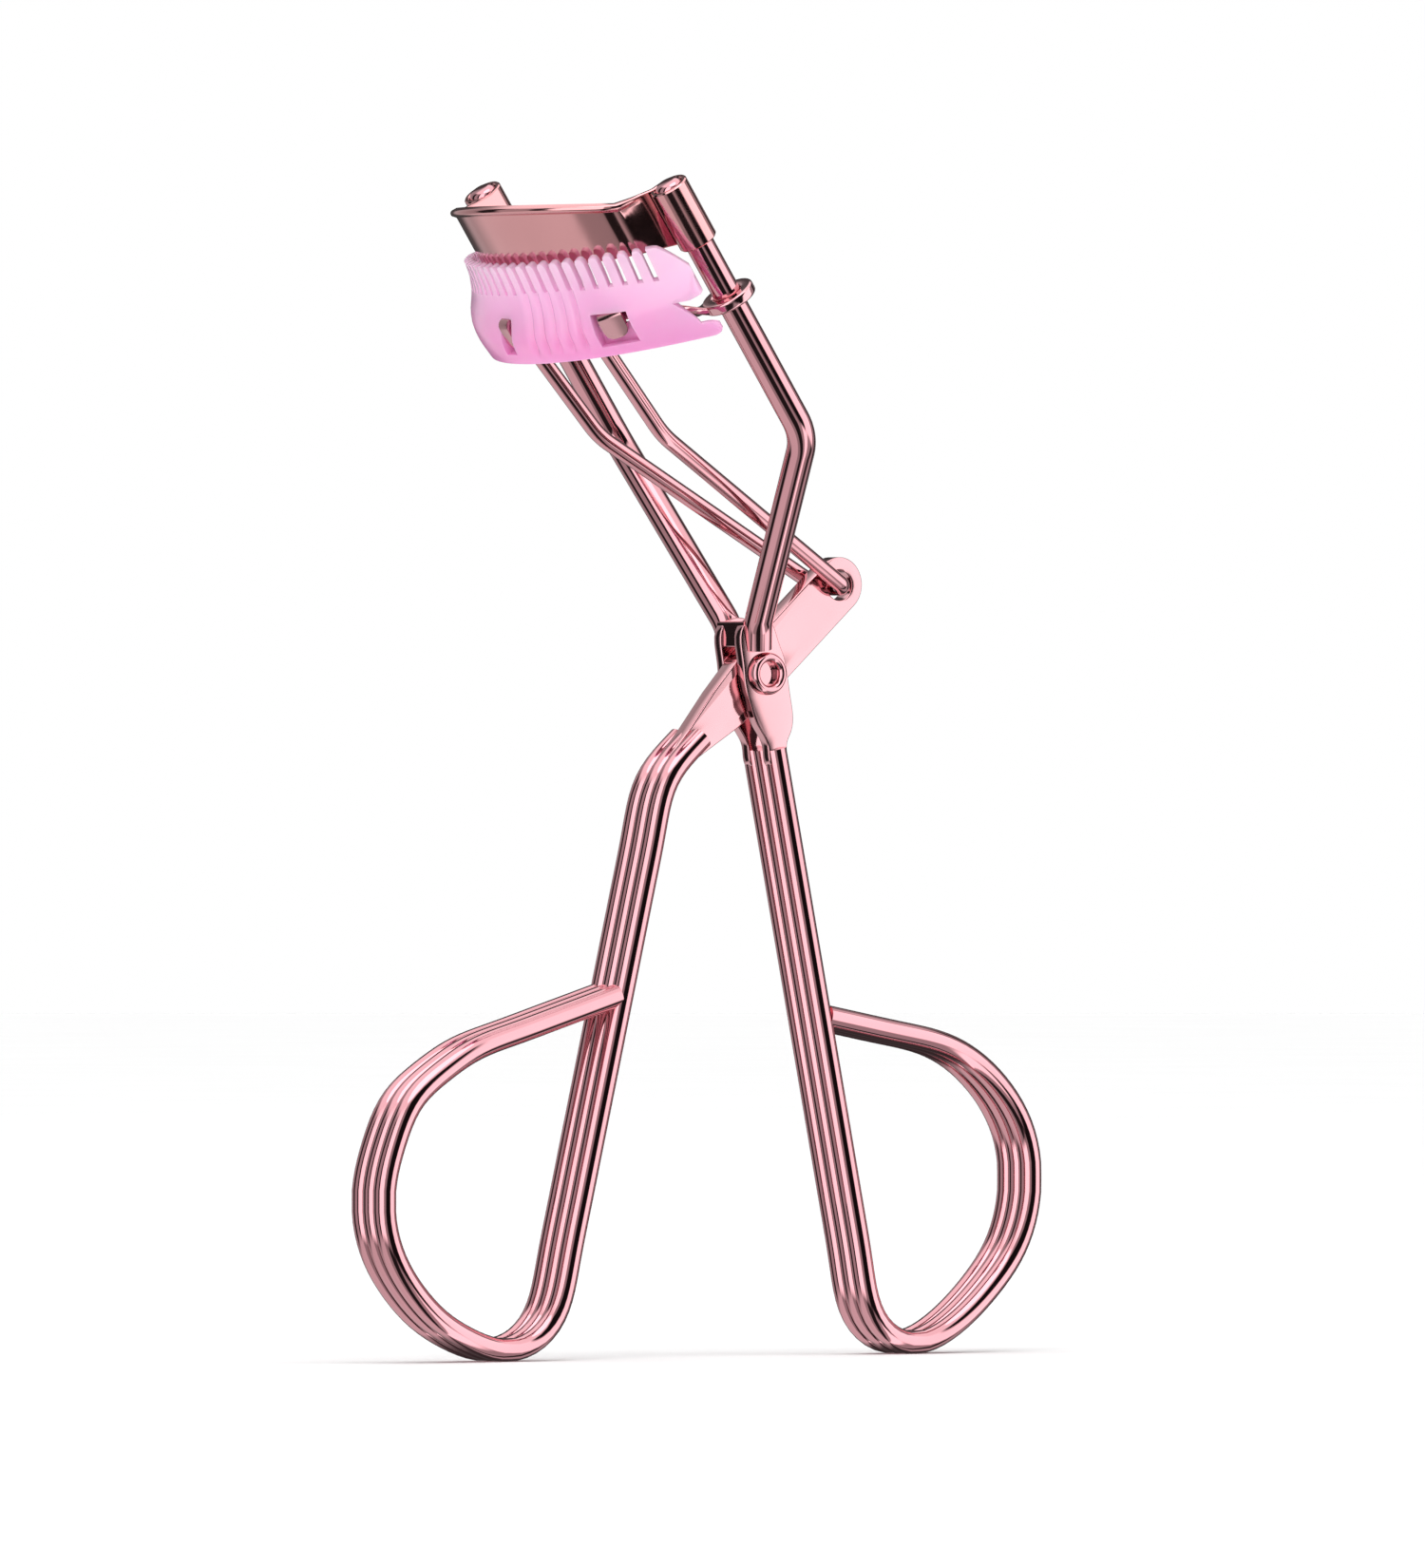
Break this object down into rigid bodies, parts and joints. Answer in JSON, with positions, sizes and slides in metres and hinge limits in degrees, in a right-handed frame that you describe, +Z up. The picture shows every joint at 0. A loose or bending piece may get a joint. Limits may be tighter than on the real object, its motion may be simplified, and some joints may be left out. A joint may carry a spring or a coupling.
{
  "type": "eyelash curler",
  "caption": "Scissor-handled metal eyelash curler with curved jaws on twin guide rods and a clip-on plastic lash comb.",
  "frame": {"origin": "middle of the footprint on the plane that the two finger loops stand on", "axes": "+Z up from the finger loops to the jaws, X across the two handles with the jaws leaning towards -X, Y along the pivot rivet"},
  "size_m": [0.0752, 0.033, 0.1066],
  "materials": {
    "rose_steel": "mirror rose-gold plating on steel",
    "comb_plastic": "glossy translucent pink plastic",
    "pad_rubber": "soft matt silicone rubber"
  },
  "bodies": {
    "frame": {"front_handle": "rose_steel", "pivot_rivet": "rose_steel", "guide_rod_left": "rose_steel", "guide_rod_right": "rose_steel", "upper_jaw": "rose_steel"},
    "lever": {"rear_handle": "rose_steel", "lever_plate": "rose_steel"},
    "jaw": {"lower_jaw": "rose_steel", "silicone_pad": "pad_rubber", "link_hinge_barrel": "rose_steel", "comb_guard": "comb_plastic"},
    "link": {"link_wire": "rose_steel"}
  },
  "joints": [
    {"name": "handle_pivot", "type": "hinge", "parent": "frame", "child": "lever", "pos_m": [0.00593, 0, 0.06189], "axis": [0, -1, 0], "range_deg": [-20, 16]},
    {"name": "jaw_slide", "type": "slide", "parent": "frame", "child": "jaw", "axis": [-0.5678, 0, 0.8231], "range_m": [-0.00435, 0.00348]},
    {"name": "link_swing", "type": "hinge", "parent": "jaw", "child": "link", "pos_m": [-0.01588, 0, 0.09243], "axis": [0, -1, 0], "range_deg": [-0.45, 0.55]}
  ],
  "couplings": [
    {"joint": "jaw_slide", "follows": "handle_pivot", "m_per_rad": 0.0124},
    {"joint": "link_swing", "follows": "handle_pivot", "ratio": -0.025}
  ]
}
